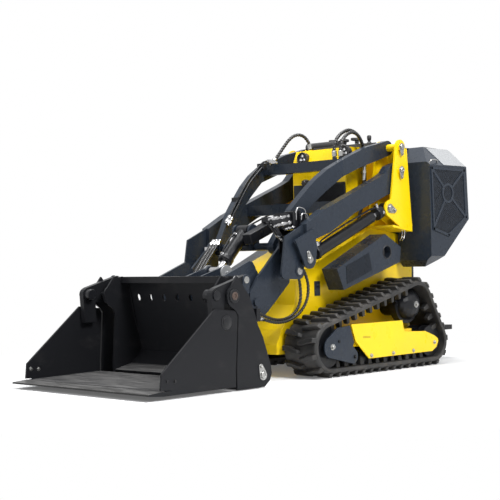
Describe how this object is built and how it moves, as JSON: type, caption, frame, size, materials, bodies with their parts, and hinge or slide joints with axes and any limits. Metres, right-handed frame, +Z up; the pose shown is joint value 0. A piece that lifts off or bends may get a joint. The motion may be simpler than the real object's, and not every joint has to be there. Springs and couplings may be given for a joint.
{
  "type": "compact tracked stand-behind loader",
  "caption": "Compact tracked loader with parallel lift arms, a clamshell bucket, hydraulic cylinders and a fold-up platform for a standing operator.",
  "frame": {"origin": "centre of the bounding box on the ground under the tracks", "axes": "+Z up; the machine faces -Y, so +Y points to the operator's end; +X is the machine's left side"},
  "size_m": [1.1, 2.845, 1.4538],
  "materials": {
    "yellow_paint": "satin machine yellow",
    "slate_paint": "satin slate grey",
    "black_paint": "worn black paint",
    "engine_iron": "plain engine block",
    "track_rubber": "dusty moulded rubber",
    "black_plastic": "grained black plastic",
    "bright_steel": "plated cylinder rod",
    "hose_rubber": "black hydraulic hose"
  },
  "bodies": {
    "machine": {"chassis": "yellow_paint", "engine": "engine_iron", "tower_left": "yellow_paint", "tower_right": "yellow_paint", "console": "yellow_paint", "instrument_cowl": "black_plastic", "control_levers": "black_plastic", "rear_hood": "slate_paint", "rear_cover": "slate_paint", "side_pod_left": "slate_paint", "side_pod_right": "slate_paint", "side_box_left": "slate_paint", "side_box_right": "slate_paint", "track_frame_left": "yellow_paint", "track_frame_right": "yellow_paint", "track_left": "track_rubber", "track_right": "track_rubber", "drive_sprocket_left": "black_paint", "drive_sprocket_right": "black_paint", "front_idler_left": "black_paint", "front_idler_right": "black_paint", "rear_idler_left": "black_paint", "rear_idler_right": "black_paint", "rollers_left": "black_paint", "rollers_right": "black_paint", "track_cover_left": "yellow_paint", "track_cover_right": "yellow_paint", "idler_bracket_left": "slate_paint", "idler_bracket_right": "slate_paint"},
    "arms": {"lift_arm_left": "slate_paint", "lift_arm_right": "slate_paint", "arm_cross_bar": "slate_paint"},
    "links": {"upper_link_left": "slate_paint", "upper_link_right": "slate_paint", "link_cross_tube": "slate_paint", "hose_arch_left_1": "hose_rubber", "hose_arch_left_2": "hose_rubber", "hose_arch_right": "hose_rubber"},
    "leg": {"loader_leg": "slate_paint", "coupler_block": "black_paint", "hose_bulkhead": "black_paint", "hose_loader_1": "hose_rubber", "hose_loader_2": "hose_rubber"},
    "bucket": {"attach_plate": "slate_paint", "bucket_back": "black_paint"},
    "jaw": {"bucket_jaw": "black_paint"},
    "platform": {"operator_platform": "black_paint"},
    "lift_barrel_l": {"lift_barrel_left": "black_paint"},
    "lift_barrel_r": {"lift_barrel_right": "black_paint"},
    "lift_rod_l": {"lift_rod_left": "bright_steel"},
    "lift_rod_r": {"lift_rod_right": "bright_steel"},
    "tilt_barrel": {"tilt_barrel": "black_paint"},
    "tilt_rod": {"tilt_rod": "bright_steel"},
    "clam_barrel_l": {"clam_barrel_left": "black_paint"},
    "clam_barrel_r": {"clam_barrel_right": "black_paint"},
    "clam_rod_l": {"clam_rod_left": "bright_steel"},
    "clam_rod_r": {"clam_rod_right": "bright_steel"}
  },
  "joints": [
    {"name": "lift", "type": "hinge", "parent": "machine", "child": "arms", "pos_m": [0, 0.7105, 1.187], "axis": [-1, 0, 0], "range_deg": [0, 80]},
    {"name": "link_hinge", "type": "hinge", "parent": "machine", "child": "links", "pos_m": [0, 0.7155, 1.327], "axis": [-1, 0, 0], "range_deg": [0, 80]},
    {"name": "leg_hinge", "type": "hinge", "parent": "arms", "child": "leg", "pos_m": [0, -0.1725, 0.595], "axis": [-1, 0, 0], "range_deg": [-80, 0]},
    {"name": "bucket_tilt", "type": "hinge", "parent": "leg", "child": "bucket", "pos_m": [0, -0.4175, 0.43], "axis": [1, 0, 0], "range_deg": [-18, 50]},
    {"name": "jaw_open", "type": "hinge", "parent": "bucket", "child": "jaw", "pos_m": [0, -0.8395, 0.481], "axis": [-1, 0, 0], "range_deg": [0, 75]},
    {"name": "platform_fold", "type": "hinge", "parent": "machine", "child": "platform", "pos_m": [0, 1.0775, 0.205], "axis": [1, 0, 0], "range_deg": [0, 85]},
    {"name": "lift_barrel_left_hinge", "type": "hinge", "parent": "arms", "child": "lift_barrel_l", "pos_m": [0.397, -0.1165, 0.658], "axis": [-1, 0, 0], "range_deg": [0, 2.5]},
    {"name": "lift_barrel_right_hinge", "type": "hinge", "parent": "arms", "child": "lift_barrel_r", "pos_m": [-0.397, -0.1165, 0.658], "axis": [-1, 0, 0], "range_deg": [0, 2.5]},
    {"name": "lift_rod_left_slide", "type": "slide", "parent": "lift_barrel_l", "child": "lift_rod_l", "axis": [0, 0.9255, 0.3787], "range_m": [0, 0.33]},
    {"name": "lift_rod_right_slide", "type": "slide", "parent": "lift_barrel_r", "child": "lift_rod_r", "axis": [0, 0.9255, 0.3787], "range_m": [0, 0.33]},
    {"name": "tilt_barrel_hinge", "type": "hinge", "parent": "leg", "child": "tilt_barrel", "pos_m": [0, -0.1895, 0.828], "axis": [1, 0, 0], "range_deg": [-9.5, 3.5]},
    {"name": "tilt_rod_slide", "type": "slide", "parent": "tilt_barrel", "child": "tilt_rod", "axis": [0, -0.6948, -0.7192], "range_m": [-0.046, 0.126]},
    {"name": "clam_barrel_left_hinge", "type": "hinge", "parent": "bucket", "child": "clam_barrel_l", "pos_m": [0.47, -0.6385, 0.066], "axis": [-1, 0, 0], "range_deg": [-6, 0]},
    {"name": "clam_barrel_right_hinge", "type": "hinge", "parent": "bucket", "child": "clam_barrel_r", "pos_m": [-0.47, -0.6385, 0.066], "axis": [-1, 0, 0], "range_deg": [-6, 0]},
    {"name": "clam_rod_left_slide", "type": "slide", "parent": "clam_barrel_l", "child": "clam_rod_l", "axis": [0, -0.1831, 0.9831], "range_m": [-0.16, 0]},
    {"name": "clam_rod_right_slide", "type": "slide", "parent": "clam_barrel_r", "child": "clam_rod_r", "axis": [0, -0.1831, 0.9831], "range_m": [-0.16, 0]}
  ],
  "couplings": [
    {"joint": "link_hinge", "follows": "lift", "ratio": 1},
    {"joint": "leg_hinge", "follows": "lift", "ratio": -1},
    {"joint": "lift_barrel_left_hinge", "follows": "lift", "ratio": 0.02463},
    {"joint": "lift_barrel_right_hinge", "follows": "lift", "ratio": 0.02463},
    {"joint": "lift_rod_left_slide", "follows": "lift", "m_per_rad": 0.23542},
    {"joint": "lift_rod_right_slide", "follows": "lift", "m_per_rad": 0.23542},
    {"joint": "tilt_barrel_hinge", "follows": "bucket_tilt", "ratio": -0.1791},
    {"joint": "tilt_rod_slide", "follows": "bucket_tilt", "m_per_rad": 0.142},
    {"joint": "clam_barrel_left_hinge", "follows": "jaw_open", "ratio": -0.07653},
    {"joint": "clam_barrel_right_hinge", "follows": "jaw_open", "ratio": -0.07653},
    {"joint": "clam_rod_left_slide", "follows": "jaw_open", "m_per_rad": -0.1211},
    {"joint": "clam_rod_right_slide", "follows": "jaw_open", "m_per_rad": -0.1211}
  ]
}
